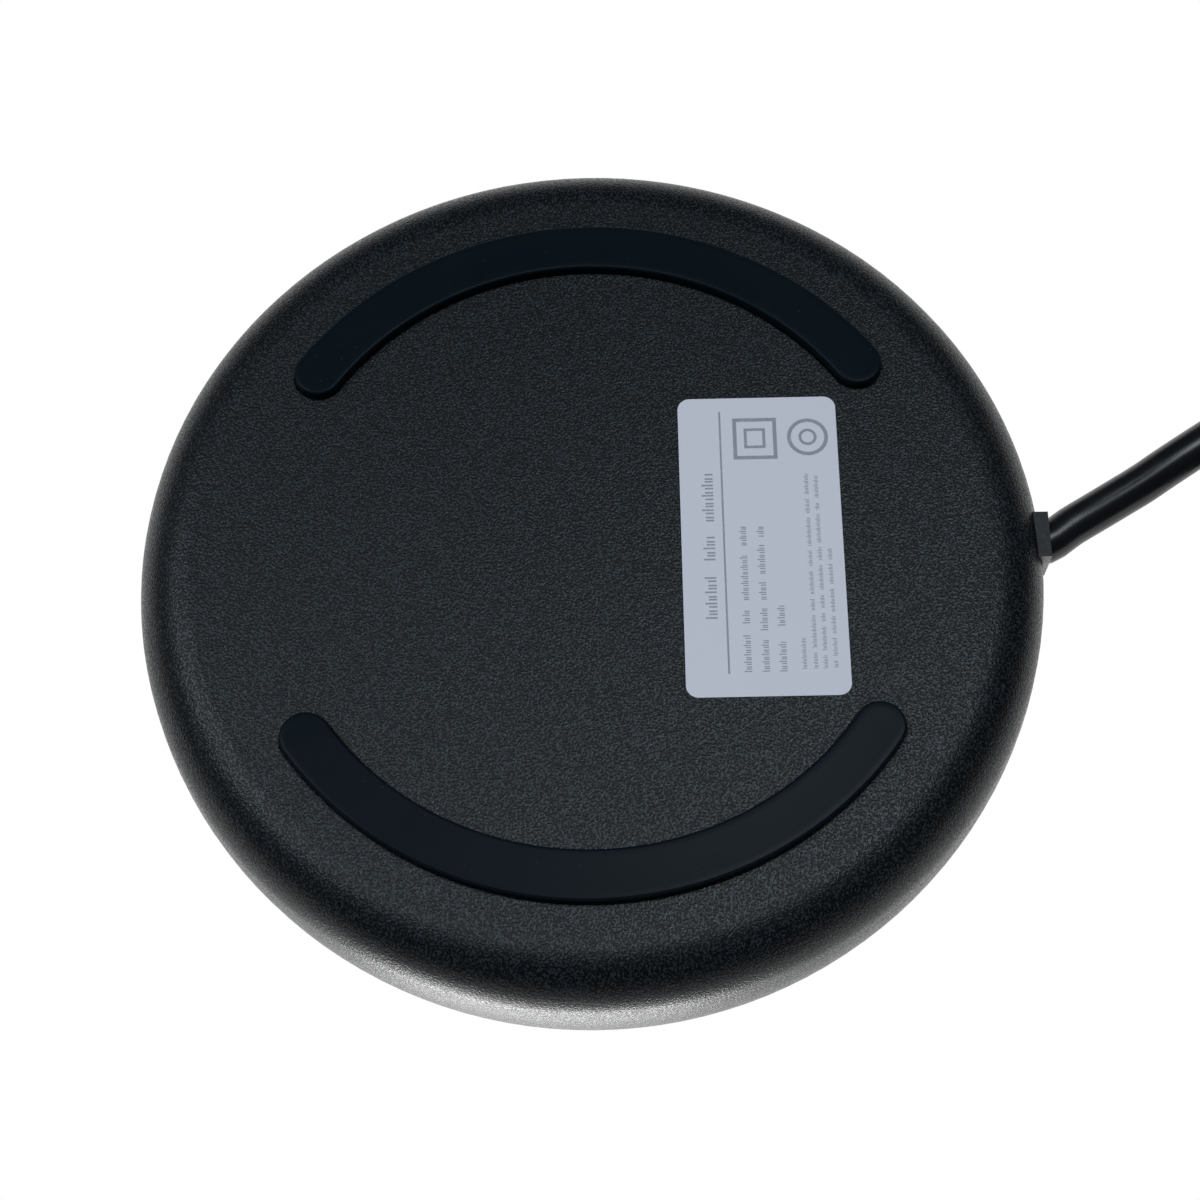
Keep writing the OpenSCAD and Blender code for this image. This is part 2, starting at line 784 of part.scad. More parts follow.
module heater_leads() {
    fuse_z = clamp_z - fuse_d / 2;
    color([0.85, 0.2, 0.15])
        tube(
            smooth([
                [20, -board_y - 5, board_top_z],
                [20, -board_y - 3, board_top_z + 3],
                [21, -board_y + 6, board_top_z + 5],
                [24, -6, fuse_z - 4],
                [27, fuse_pos[1] - 5, fuse_z - 4],
                [fuse_pos[0] + fuse_l / 2 + 7, fuse_pos[1], fuse_z - 2],
                [fuse_pos[0] + fuse_l / 2 + 3, fuse_pos[1], fuse_z]
            ], 4),
            lead_d / 2, 8, [1, 0, 0], [[0, 0, 1], [-1, 0, 0]]
        );
    color([0.85, 0.2, 0.15])
        tube(
            smooth([
                [24, -board_y - 5, board_top_z],
                [24, -board_y - 3, board_top_z + 3],
                [26, -board_y + 6, board_top_z + 5],
                [29, -6, fuse_z - 4],
                [34, 2, clamp_z - 4],
                [pad_r + lead_d, 6, clamp_z - lead_d],
                [pad_r + lead_d, 9, clamp_z - lead_d / 2 - 0.1]
            ], 4),
            lead_d / 2, 8, [1, 0, 0], [[0, 0, 1], [0, 1, 0]]
        );
}

module sensor_leads() {
    for (s = [-1, 1])
        color([0.9, 0.9, 0.9])
            tube(
                smooth([
                    [s * 0.9, 0, clamp_z - sensor_flange_t],
                    [s * 0.9, -0.8, clamp_z - sensor_flange_t - 3],
                    [-4 + s * 0.9, -9, board_top_z + 5],
                    [-4 + s * 0.9, -board_y + 2, board_top_z + 4],
                    [-4 + s * 0.9, -board_y - 1.6, board_top_z + 2.6],
                    [-4 + s * 0.9, -board_y - 2, board_top_z]
                ], 4),
                0.5, 8, [1, 0, 0], [[0, 0, -1], [0, 0, -1]]
            );
}

// Square block along Y that ends at y = 0, larger than the bushing's outer end by 2 * grow
module bushing_block(l, grow) {
    w = bushing_w + 2 * grow;
    translate([-w / 2, -l, -w / 2]) cube([w, l, w]);
}

module cord_bushing() {
    l = bushing_end_y - bushing_in_y;
    color(rubber_black)
        difference() {
            union() {
                difference() {
                    translate([exit_x, bushing_end_y, exit_z]) bushing_block(l, 0);
                    rotate_extrude() difference() {
                        case_section(0);
                        case_section(wall);
                    }
                }
                translate([exit_x, bushing_end_y, exit_z]) bushing_block(l, -neck_step);
            }
            translate([exit_x, bushing_end_y + 1, exit_z])
                rotate([90, 0, 0]) cylinder(d = cord_d, h = l + 2);
        }
}

module cord_inner_end() {
    color(cord_black)
        translate([exit_x, bushing_end_y, exit_z])
            rotate([90, 0, 0]) cylinder(d = cord_d, h = bushing_end_y - cord_end_y);
}

module power_cord() {
    color(cord_black) tube(cord_points, cord_d / 2, cord_facets, [1, 0, 0], [[0, 1, 0], undef]);
}

module cord_coil() {
    color(cord_black)
        translate([coil_c[0], coil_c[1], 0])
            rotate_extrude()
                translate([(coil_inner_r + coil_outer_r) / 2, (coil_low_z + coil_top_z) / 2])
                    rounded_rect([coil_outer_r - coil_inner_r, coil_top_z - coil_low_z], 2.6);
}

module plug_cord() {
    color(cord_black) tube(plug_cord_points, cord_d / 2, cord_facets, [0, 0, 1], [undef, [-1, 0, 0]]);
}

module cord_tie() {
    span = coil_outer_r - coil_inner_r;
    rise = coil_top_z - coil_low_z;
    color([0.05, 0.05, 0.05])
        translate([coil_c[0], coil_c[1], 0])
            rotate([0, 0, tie_angle])
                rotate_extrude(angle = 360 * tie_w / (2 * PI * coil_inner_r))
                    translate([(coil_inner_r + coil_outer_r) / 2, (coil_low_z + coil_top_z) / 2])
                        difference() {
                            rounded_rect([span + 2 * tie_t, rise + 2 * tie_t], 2.6 + tie_t);
                            rounded_rect([span, rise], 2.6);
                        }
}

module plug_section(w, t, l, r) {
    rotate([0, -90, 0]) linear_extrude(l) rounded_rect([t, w], r);
}

module plug_body() {
    color(cord_black)
        difference() {
            translate(plug_end) {
                hull() {
                    translate([-boot_l, 0, 0]) plug_section(cord_d + 6, cord_d + 5, 1, 4, $fn = 32);
                    translate([-boot_l - 10, 0, 0]) plug_section(plug_w, plug_t, plug_l - 10, 4, $fn = 32);
                }
                rotate([0, -90, 0]) cylinder(d1 = cord_d + 1.4, d2 = cord_d + 4.4, h = boot_l);
            }
            blades();
        }
}

module blades() {
    blade_in = 8;
    for (s = [-1, 1])
        translate(plug_end + [-boot_l - plug_l - blade_l, s * blade_pitch / 2, 0])
            difference() {
                translate([0, -blade_t / 2, -blade_w / 2])
                    cube([blade_l + blade_in, blade_t, blade_w]);
                translate([3.2, blade_t, 0]) rotate([90, 0, 0]) cylinder(d = 3.2, h = 2 * blade_t);
            }
}

module plug_blades() {
    color([0.8, 0.76, 0.62]) blades();
}

bottom_cover();
top_cover();
left_foot();
right_foot();
rating_label();
case_screws();
heating_plate();
plate_seal();
upper_mica_sheet();
heating_element();
lower_mica_sheet();
clamp_plate();
clamp_nuts();
insulating_pad();
thermal_fuse();
temperature_sensor();
power_button();
temperature_button();
power_switch_plunger();
temperature_switch_plunger();
push_switches();
indicator_lenses();
indicator_leds();
control_board();
board_screws();
dropper_capacitor();
smoothing_capacitor();
triac();
mains_leads();
heater_leads();
sensor_leads();
cord_bushing();
cord_inner_end();
power_cord();
cord_coil();
plug_cord();
cord_tie();
plug_body();
plug_blades();
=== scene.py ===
import json
import math

import bmesh
import bpy
from mathutils import Matrix, Vector


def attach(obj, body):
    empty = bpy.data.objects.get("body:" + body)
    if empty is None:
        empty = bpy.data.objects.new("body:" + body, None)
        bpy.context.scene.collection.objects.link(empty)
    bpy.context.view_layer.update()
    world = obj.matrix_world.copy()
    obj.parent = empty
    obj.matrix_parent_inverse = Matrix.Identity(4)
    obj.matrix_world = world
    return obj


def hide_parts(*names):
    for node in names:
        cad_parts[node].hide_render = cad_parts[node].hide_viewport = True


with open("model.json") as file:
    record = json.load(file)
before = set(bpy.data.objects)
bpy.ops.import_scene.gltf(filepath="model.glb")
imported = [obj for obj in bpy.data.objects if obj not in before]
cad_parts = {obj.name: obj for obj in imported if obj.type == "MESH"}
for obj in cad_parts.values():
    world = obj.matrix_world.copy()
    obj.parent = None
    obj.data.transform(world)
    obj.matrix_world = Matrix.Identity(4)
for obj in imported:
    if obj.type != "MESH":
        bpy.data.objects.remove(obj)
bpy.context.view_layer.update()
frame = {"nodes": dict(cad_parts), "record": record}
nodes = frame["nodes"]
MM = 0.001

# ---------------------------------------------------------------- camera


def add_camera():
    """Camera at the photograph's viewing angle: below the object, looking up at its underside."""
    right = Vector((-0.01431, 0.99975, 0.01698)).normalized()
    up = Vector((0.92348, 0.01973, -0.38314))
    up = (up - up.dot(right) * right).normalized()
    back = right.cross(up)
    place = Vector((-0.117352, 0.004103, -0.263266))
    data = bpy.data.cameras.new("camera")
    data.sensor_width = 36
    data.lens = 67.4
    data.clip_start = 0.01
    data.clip_end = 20
    camera = bpy.data.objects.new("camera", data)
    camera.matrix_world = Matrix(
        [[right[i], up[i], back[i], place[i]] for i in range(3)] + [[0, 0, 0, 1]]
    )
    bpy.context.scene.collection.objects.link(camera)
    bpy.context.scene.camera = camera


add_camera()

# ---------------------------------------------------------------- materials


def add_node(tree, kind, inputs=None, **settings):
    """A node with its settings, and with each input set to a value or joined to a socket."""
    node = tree.nodes.new(kind)
    for key, value in settings.items():
        setattr(node, key, value)
    for key, value in (inputs or {}).items():
        if isinstance(value, bpy.types.NodeSocket):
            tree.links.new(value, node.inputs[key])
        else:
            node.inputs[key].default_value = value
    return node


class Nodes:
    """A material's node tree, with short ways to add and join nodes."""

    def __init__(self, name):
        self.material = bpy.data.materials.new(name)
        self.material.use_nodes = True
        self.tree = self.material.node_tree
        self.tree.nodes.clear()
        self.out = self.tree.nodes.new("ShaderNodeOutputMaterial")
        self.coords = self.add("ShaderNodeTexCoord").outputs["Object"]

    def add(self, kind, inputs=None, **settings):
        return add_node(self.tree, kind, inputs, **settings)

    def noise(self, scale, detail=2.0, rough=0.5, distortion=0.0, at=None):
        return self.add(
            "ShaderNodeTexNoise",
            {"Vector": at or self.coords, "Scale": scale, "Detail": detail, "Roughness": rough,
             "Distortion": distortion},
        ).outputs["Fac"]

    def cells(self, scale):
        return self.add(
            "ShaderNodeTexVoronoi", {"Vector": self.coords, "Scale": scale}
        ).outputs["Distance"]

    def span(self, value, low, high, to_low, to_high):
        """The value moved from the range low to high to the range to_low to to_high."""
        inputs = {
            "Value": value, "From Min": low, "From Max": high, "To Min": to_low, "To Max": to_high
        }
        return self.add("ShaderNodeMapRange", inputs).outputs["Result"]

    def math(self, operation, a, b):
        return self.add("ShaderNodeMath", {0: a, 1: b}, operation=operation).outputs[0]

    def mix(self, factor, a, b):
        return self.add("ShaderNodeMix", {0: factor, 6: a, 7: b}, data_type="RGBA").outputs[2]

    def bump(self, height, depth):
        """Relief depth mm high."""
        inputs = {"Height": height, "Distance": depth * MM, "Strength": 1.0}
        return self.add("ShaderNodeBump", inputs).outputs["Normal"]

    def surface(self, **inputs):
        """The finished material, from the shader's inputs with _ in place of spaces."""
        named = {key.replace("_", " "): value for key, value in inputs.items()}
        shader = self.add("ShaderNodeBsdfPrincipled", named)
        self.tree.links.new(shader.outputs[0], self.out.inputs["Surface"])
        return self.material


def shade(color, factor):
    return (color[0] * factor, color[1] * factor, color[2] * factor, 1)


def moulded(name, color, rough, grain=900, depth=0.01, vary=0.12):
    """Moulded plastic or rubber: slight changes of colour and gloss, and a grain depth mm deep."""
    m = Nodes(name)
    broad = m.noise(60, 3)
    fine = m.noise(grain, 3, 0.6)
    tone = m.mix(broad, shade(color, 1 - vary), shade(color, 1 + vary))
    return m.surface(
        Base_Color=tone,
        Roughness=m.span(m.noise(220, 3), 0.3, 0.7, rough - 0.05, rough + 0.05),
        Normal=m.bump(fine, depth),
    )


def case_plastic():
    """Black plastic with a fine spark-eroded grain of small pits and peaks, and painted glints: the
    grain's peaks are coloured lighter to stand in for the light they catch.
    """
    m = Nodes("case_plastic")
    grain = m.noise(3500, 1, 0.5)
    broad = m.noise(35, 3)
    base = m.mix(broad, (0.0008, 0.0013, 0.0018, 1), (0.0012, 0.0018, 0.0023, 1))
    # painted glints: where the grain peaks, the base colour turns lighter, standing in for light
    # caught by the grain
    tone = m.mix(m.span(grain, 0.48, 0.61, 0, 1), base, (0.031, 0.039, 0.048, 1))
    return m.surface(
        Base_Color=tone,
        Roughness=m.span(grain, 0.4, 0.6, 0.44, 0.25),
        Specular_IOR_Level=0.26,
        Normal=m.bump(grain, 0.075),
    )


def foot_rubber():
    """Smooth moulded rubber with faint smears and a few dust specks."""
    m = Nodes("foot_rubber")
    smear = m.noise(90, 4, 0.6, 0.6)
    specks = m.span(m.cells(420), 0.0, 0.07, 1, 0)
    base = m.mix(smear, (0.0052, 0.0098, 0.0152, 1), (0.0062, 0.0112, 0.017, 1))
    dusty = m.mix(m.math("MULTIPLY", specks, 0.25), base, (0.12, 0.12, 0.13, 1))
    return m.surface(
        Base_Color=dusty,
        Roughness=m.span(smear, 0.3, 0.7, 0.24, 0.3),
        Specular_IOR_Level=0.065,
        Normal=m.bump(m.noise(1500, 2), 0.002),
    )


def label_film():
    """White polyester film with a very slight orange peel."""
    m = Nodes("label_film")
    tone = m.mix(m.noise(45, 2), (0.88, 0.86, 0.98, 1), (0.9, 0.88, 1.0, 1))
    return m.surface(
        Base_Color=tone,
        Roughness=m.span(m.noise(300, 2), 0.3, 0.7, 0.42, 0.5),
        Normal=m.bump(m.noise(700, 2), 0.004),
    )


def label_print():
    """Grey print with thin spots where the ink missed the film."""
    m = Nodes("label_print")
    worn = m.span(m.noise(2600, 2, 0.7), 0.52, 0.7, 0, 1)
    tone = m.mix(worn, (0.37, 0.385, 0.44, 1), (0.5, 0.51, 0.58, 1))
    return m.surface(Base_Color=tone, Roughness=0.5, Normal=m.bump(worn, 0.002))


def pad_print():
    """Light grey ink, slightly uneven."""
    m = Nodes("pad_print")
    tone = m.mix(m.noise(1500, 2), (0.5, 0.51, 0.53, 1), (0.62, 0.63, 0.65, 1))
    return m.surface(Base_Color=tone, Roughness=0.45, Normal=m.bump(m.noise(2500, 2), 0.002))


def metal(name, color, rough):
    """Plated or plain metal with fine scratches and uneven gloss."""
    m = Nodes(name)
    stretch = m.add("ShaderNodeMapping", {"Vector": m.coords, "Scale": (1, 9, 1)}).outputs[0]
    lines = m.noise(260, 4, 0.65, at=stretch)
    tone = m.mix(lines, shade(color, 0.85), shade(color, 1.08))
    return m.surface(
        Base_Color=tone,
        Metallic=1.0,
        Roughness=m.span(lines, 0.3, 0.7, rough - 0.07, rough + 0.07),
        Normal=m.bump(lines, 0.004),
    )


WAVES_PER_M = 3.2  # of a wave texture whose scale is 1


def woven(name, color, pitch, rough=0.85):
    """Woven or felted stuff: two crossing waves at pitch mm."""
    m = Nodes(name)
    across, along = [
        m.add(
            "ShaderNodeTexWave",
            {"Vector": m.coords, "Scale": 1 / (pitch * MM) / WAVES_PER_M, "Distortion": 1.5},
            bands_direction=way,
        ).outputs["Fac"]
        for way in ("X", "Z")
    ]
    height = m.math("ADD", m.math("MULTIPLY", across, 0.5), m.math("MULTIPLY", along, 0.5))
    tone = m.mix(height, shade(color, 0.7), shade(color, 1.3))
    return m.surface(
        Base_Color=tone, Roughness=rough, Normal=m.bump(height, 0.08), Sheen_Weight=0.3
    )


def heating_plate_coating():
    """Satin black coating with a fine fleck."""
    m = Nodes("plate_coating")
    fleck = m.span(m.cells(1500), 0.0, 0.16, 1, 0)
    base = m.mix(m.noise(50, 3), (0.017, 0.018, 0.02, 1), (0.023, 0.024, 0.027, 1))
    tone = m.mix(m.math("MULTIPLY", fleck, 0.16), base, (0.2, 0.2, 0.21, 1))
    return m.surface(
        Base_Color=tone,
        Roughness=m.span(m.noise(160, 3), 0.3, 0.7, 0.3, 0.38),
        Normal=m.bump(m.noise(1300, 3), 0.012),
        Coat_Weight=0.15,
        Coat_Roughness=0.25,
    )


def clear(name, color, rough):
    """Clear or tinted plastic with slight flow lines."""
    m = Nodes(name)
    tone = m.mix(m.noise(400, 2), shade(color, 0.94), shade(color, 1.0))
    return m.surface(
        Base_Color=tone,
        Roughness=rough,
        Transmission_Weight=0.6,
        IOR=1.49,
        Normal=m.bump(m.noise(500, 2), 0.003),
    )


materials = {
    "case_plastic": case_plastic(),
    "foot_rubber": foot_rubber(),
    "label_film": label_film(),
    "plated_steel": metal("plated_steel", (0.6, 0.6, 0.62), 0.32),
    "plate_coating": heating_plate_coating(),
    "seal_silicone": moulded("seal_silicone", (0.03, 0.03, 0.033), 0.6, depth=0.006),
    "mica": moulded("mica", (0.5, 0.44, 0.3), 0.4, grain=300, depth=0.03, vary=0.25),
    "heater_film": metal("heater_film", (0.42, 0.38, 0.32), 0.35),
    "ceramic_felt": woven("ceramic_felt", (0.72, 0.7, 0.64), 0.4, 0.95),
    "fuse_ceramic": moulded("fuse_ceramic", (0.72, 0.62, 0.5), 0.25, depth=0.004),
    "probe_copper": metal("probe_copper", (0.5, 0.26, 0.13), 0.4),
    "button_plastic": moulded(
        "button_plastic", (0.014, 0.015, 0.018), 0.3, grain=1600, depth=0.006
    ),
    "plunger_plastic": moulded("plunger_plastic", (0.12, 0.12, 0.13), 0.45),
    "switch_plastic": moulded("switch_plastic", (0.03, 0.03, 0.032), 0.5),
    "lens_plastic": clear("lens_plastic", (0.85, 0.88, 0.92), 0.2),
    "led_epoxy": clear("led_epoxy", (0.8, 0.85, 0.9), 0.1),
    "board_laminate": moulded("board_laminate", (0.03, 0.14, 0.06), 0.35, grain=500, vary=0.2),
    "film_capacitor": moulded("film_capacitor", (0.6, 0.42, 0.05), 0.3),
    "capacitor_sleeve": moulded("capacitor_sleeve", (0.04, 0.07, 0.2), 0.3),
    "package_epoxy": moulded("package_epoxy", (0.025, 0.025, 0.025), 0.55),
    "mains_insulation": moulded("mains_insulation", (0.06, 0.06, 0.065), 0.35),
    "heater_insulation": moulded("heater_insulation", (0.5, 0.05, 0.03), 0.45),
    "sensor_insulation": moulded("sensor_insulation", (0.75, 0.75, 0.73), 0.4),
    "cord_pvc": moulded("cord_pvc", (0.0065, 0.0075, 0.0105), 0.27, grain=1200, depth=0.004),
    "bushing_plastic": moulded(
        "bushing_plastic", (0.007, 0.008, 0.011), 0.5, grain=1100, depth=0.05
    ),
    "plug_pvc": moulded("plug_pvc", (0.01, 0.011, 0.013), 0.42, grain=1600, depth=0.015),
    "blade_metal": metal("blade_metal", (0.62, 0.58, 0.47), 0.25),
    "tie_band": woven("tie_band", (0.016, 0.016, 0.018), 0.35),
}

for part in frame["record"]["subparts"]:
    slots = nodes[part["node"]].data.materials
    slots.clear()
    slots.append(materials[part["material_slot"]])

# ---------------------------------------------------------------- making pieces

SAME_POINT = 1e-7  # vertices nearer than this, in m, are joined


def piece(name, vertices, faces, slot, body="case", material=None, smooth=True):
    """A mesh piece, in mm, that rides on a body and takes its finish from a slot."""
    mesh = bpy.data.meshes.new(name)
    mesh.from_pydata([Vector(v) * MM for v in vertices], [], faces)
    edit = bmesh.new()
    edit.from_mesh(mesh)
    bmesh.ops.remove_doubles(edit, verts=edit.verts, dist=SAME_POINT)
    bmesh.ops.recalc_face_normals(edit, faces=edit.faces)
    edit.to_mesh(mesh)
    edit.free()
    for polygon in mesh.polygons:
        polygon.use_smooth = smooth
    mesh.materials.append(material or materials[slot])
    thing = bpy.data.objects.new(name, mesh)
    bpy.context.scene.collection.objects.link(thing)
    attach(thing, body)
    return thing


def loft(rings):
    """Vertices and faces of a closed form through rings of equally many points, with flat ends."""
    vertices = [p for ring in rings for p in ring]
    n = len(rings[0])
    faces = []
    for i in range(len(rings) - 1):
        for k in range(n):
            a, b = i * n + k, i * n + (k + 1) % n
            faces.append((a, b, b + n, a + n))
    faces.append(tuple(range(n - 1, -1, -1)))
    faces.append(tuple((len(rings) - 1) * n + k for k in range(n)))
    return vertices, faces


def prisms(outlines, z0, z1):
    """Vertices and faces of thin upright prisms."""
    vertices, faces = [], []
    for outline in outlines:
        low, n = len(vertices), len(outline)
        high = low + n
        vertices += [(x, y, z0) for x, y in outline] + [(x, y, z1) for x, y in outline]
        faces.append(tuple(range(high - 1, low - 1, -1)))
        faces.append(tuple(range(high, high + n)))
        faces += [(low + i, low + (i + 1) % n, high + (i + 1) % n, high + i) for i in range(n)]
    return vertices, faces


def arc(cx, cy, r, start, end, steps):
    """Points on an arc, with its angles in degrees."""
    angles = [math.radians(start + (end - start) * i / steps) for i in range(steps + 1)]
    return [(cx + r * math.cos(a), cy + r * math.sin(a)) for a in angles]


def ease(t):
    """0 up to t = 0, 1 from t = 1, and smooth between them."""
    t = min(max(t, 0), 1)
    return t * t * (3 - 2 * t)


# ---------------------------------------------------------------- cord

# The cord's route repeats the points of part.scad. It starts inside the bushing
CORD_D = 5.4
CORD_STEP = 1.2
CORD_START = [(2.2, 57, 8.4)]
CORD_POINTS = [
    (2.2, 60, 8.4), (4.4, 63.3, 8.2), (6.1, 66.5, 7.5), (7.7, 69.7, 6.5), (9.3, 72.9, 5.4),
    (11.1, 76, 4.4), (13.6, 80.3, 3.4), (17.1, 86, 2.9), (21.3, 92, 2.8), (25.5, 98, 2.8),
    (29.8, 104, 3),
]
PLUG_CORD_POINTS = [
    (28.3, 159.3, 8.6), (24.5, 163.9, 8.3), (20.6, 168.5, 7.8),
    (15.5, 173, 7.3), (9, 176.2, 7), (2, 177, 7), (-1, 177, 7),
]
COIL_CENTRE = (4, 131)
COIL_RADII = (26, 31.4, 36.8)
COIL_LEVELS = (3.3, 8.7)
COIL_POINT_STEP = 12.5  # degrees
# Angles where a change of radius or height begins or ends, with the radius and height there
COIL_STEPS = [
    (-35, COIL_RADII[2], COIL_LEVELS[0]), (265, COIL_RADII[2], COIL_LEVELS[0]),
    (325, COIL_RADII[1], COIL_LEVELS[0]), (625, COIL_RADII[1], COIL_LEVELS[0]),
    (685, COIL_RADII[0], COIL_LEVELS[0]), (925, COIL_RADII[0], COIL_LEVELS[0]),
    (985, COIL_RADII[0], COIL_LEVELS[1]), (1225, COIL_RADII[0], COIL_LEVELS[1]),
    (1285, COIL_RADII[1], COIL_LEVELS[1]), (1585, COIL_RADII[1], COIL_LEVELS[1]),
    (1645, COIL_RADII[2], COIL_LEVELS[1]), (1840, COIL_RADII[2], COIL_LEVELS[1]),
]


def coil_points():
    """Points of the coil's turns: three side by side on the table, the rest on top of them."""
    points = []
    angle = COIL_STEPS[0][0]
    while angle <= COIL_STEPS[-1][0] + 0.01:
        for (a, r0, z0), (b, r1, z1) in zip(COIL_STEPS, COIL_STEPS[1:]):
            if a <= angle <= b:
                t = ease((angle - a) / (b - a))
                r, z = r0 + (r1 - r0) * t, z0 + (z1 - z0) * t
                break
        turn = math.radians(angle)
        points.append((COIL_CENTRE[0] + r * math.cos(turn), COIL_CENTRE[1] + r * math.sin(turn), z))
        angle += COIL_POINT_STEP
    return points


def smooth_path(points, step):
    """Catmull-Rom curve through the points, at about step mm."""
    p = [Vector(q) for q in points]
    path = []
    for i in range(len(p) - 1):
        a, b, c, d = p[max(i - 1, 0)], p[i], p[i + 1], p[min(i + 2, len(p) - 1)]
        n = max(1, round((c - b).length / step))
        for k in range(n):
            t = k / n
            path.append(
                0.5 * (2 * b + (c - a) * t + (2 * a - 5 * b + 4 * c - d) * t ** 2
                       + (3 * b - a - 3 * c + d) * t ** 3)
            )
    return path + [p[-1]]


def add_cord():
    points = CORD_START + CORD_POINTS + coil_points() + PLUG_CORD_POINTS
    path = smooth_path(points, CORD_STEP)
    data = bpy.data.curves.new("cord", "CURVE")
    data.dimensions = "3D"
    data.bevel_depth = CORD_D / 2 * MM
    data.bevel_resolution = 6
    data.use_fill_caps = True
    line = data.splines.new("POLY")
    line.points.add(len(path) - 1)
    for point, place in zip(line.points, path):
        point.co = (*(place * MM), 1)
    data.materials.append(materials["cord_pvc"])
    cord = bpy.data.objects.new("cord", data)
    bpy.context.scene.collection.objects.link(cord)
    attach(cord, "case")
    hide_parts("power_cord", "cord_coil", "plug_cord")
    return cord


cord = add_cord()

# ---------------------------------------------------------------- feet

FOOT_MID_R = 43.931
FOOT_W = 6.5
FOOT_HALF_ARC = 54.5
FOOT_EDGE = 0.4
FOOT_EDGE_PARTS = 6
FOOT_HOLLOW = 0.025  # its lower face is this much higher in its middle
FOOT_ARC_PARTS, FOOT_END_PARTS = 72, 14


def foot_outline(half, z, side):
    """Outline of a foot at height z, from half its width: outer arc, end, inner arc, end."""
    turn = FOOT_HALF_ARC
    end_x = FOOT_MID_R * math.cos(math.radians(turn))
    end_y = FOOT_MID_R * math.sin(math.radians(turn))
    points = (
        arc(0, 0, FOOT_MID_R + half, -turn, turn, FOOT_ARC_PARTS)
        + arc(end_x, end_y, half, turn, turn + 180, FOOT_END_PARTS)[1:-1]
        + arc(0, 0, FOOT_MID_R - half, turn, -turn, FOOT_ARC_PARTS)
        + arc(end_x, -end_y, half, 180 - turn, 360 - turn, FOOT_END_PARTS)[1:-1]
    )
    return [(side * x, side * y, z) for x, y in points]


def add_foot(name, side):
    half, edge = FOOT_W / 2, FOOT_EDGE
    rings = [foot_outline(half, z, side) for z in (2.1, 1.4, 0.7)]
    for i in range(FOOT_EDGE_PARTS + 1):
        a = math.radians(90 * i / FOOT_EDGE_PARTS)
        rings.append(
            foot_outline(half - edge + edge * math.cos(a), edge - edge * math.sin(a), side)
        )
    for share in (0.75, 0.5, 0.25, 0.02):
        rings.append(foot_outline((half - edge) * share, FOOT_HOLLOW * (1 - share ** 2), side))
    foot = piece(name + "_rubber", *loft(rings), "foot_rubber")
    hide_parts(name)


add_foot("right_foot", 1)
add_foot("left_foot", -1)

# ---------------------------------------------------------------- label print

LABEL_Z = 1.35
PRINT_T = 0.012


def plate(x0, x1, y0, y1):
    """Corners of a thin printed patch."""
    return [(x0, y0), (x1, y0), (x1, y1), (x0, y1)]


def frame_outline(x0, x1, y0, y1, w):
    """Four bars that make a square frame."""
    return [
        plate(x0, x1, y0, y0 + w), plate(x0, x1, y1 - w, y1),
        plate(x0, x0 + w, y0 + w, y1 - w), plate(x1 - w, x1, y0 + w, y1 - w),
    ]


RING_PARTS = 24


def ring_outline(cx, cy, r, w):
    """Quadrilaterals that make a ring with the outer radius r and the width w."""
    turns = [2 * math.pi * i / RING_PARTS for i in range(RING_PARTS + 1)]
    points = [(math.cos(t), math.sin(t)) for t in turns]
    return [
        [(cx + r * c0, cy + r * s0), (cx + r * c1, cy + r * s1),
         (cx + (r - w) * c1, cy + (r - w) * s1), (cx + (r - w) * c0, cy + (r - w) * s0)]
        for (c0, s0), (c1, s1) in zip(points, points[1:])
    ]


# Strokes that fill a word's place: how far each reaches up its row, and the step to the next one
STROKE_REACH = (1, 0.7, 0.7, 0.7, 1, 0.7, 0.7, 1, 0.7, 0.7, 0.7)
STROKE_STEP = (0.34, 0.28, 0.4, 0.3, 0.36, 0.26, 0.42)
STROKE_W = 0.15


def word_strokes(x0, x1, middle, height, first):
    """Plain upright strokes in a word's place. They are no letters."""
    foot = middle + height / 2
    outlines = []
    x, i = x0, first
    while x + STROKE_W * height <= x1 + 0.01:
        top = foot - height * STROKE_REACH[i % len(STROKE_REACH)]
        outlines.append(plate(x, x + STROKE_W * height, top, foot))
        x += height * STROKE_STEP[i % len(STROKE_STEP)]
        i += 1
    return outlines


# Rows of print: middle and height across the label, start and end along it, widths of the words
PRINT_ROWS = [
    (15.35, 1.5, -10.4, 10.0, (6.2, 3.6, 6.8)),
    (19.7, 0.95, -17.7, 2.7, (5.2, 1.8, 6.2, 3.0)),
    (21.95, 0.95, -17.7, 2.5, (4.6, 3.2, 2.6, 4.2, 1.6)),
    (24.15, 0.95, -17.7, -8.7, (4.2, 2.8)),
    (26.8, 0.6, -17.4, -12.9, (4.2,)),
    (28.2, 0.6, -17.4, 9.8, (2.2, 4.4, 1.6, 3.2, 2.2, 4.0, 2.0, 3.0)),
    (29.45, 0.6, -17.4, 9.5, (1.8, 3.2, 1.2, 1.8, 3.4, 1.8, 4.0, 1.0, 3.2)),
    (30.75, 0.6, -17.3, -0.9, (1.0, 2.4, 2.4, 3.2, 2.8, 1.6)),
]
WORD_SHIFT = 4  # strokes by which each word starts further into the two tuples above
LINE = (-17.9, 19.0, 17.16, 17.4)
# Two nested squares, their sides and the width of their line
SQUARES = [(12.0, 18.0, 18.95, 24.7, 0.5), (13.6, 16.5, 20.4, 23.2, 0.38)]
# Two rings with one middle, their outer radius and the width of their line
RINGS = [(15.1, 28.75, 2.7, 0.5), (15.1, 28.75, 1.2, 0.38)]


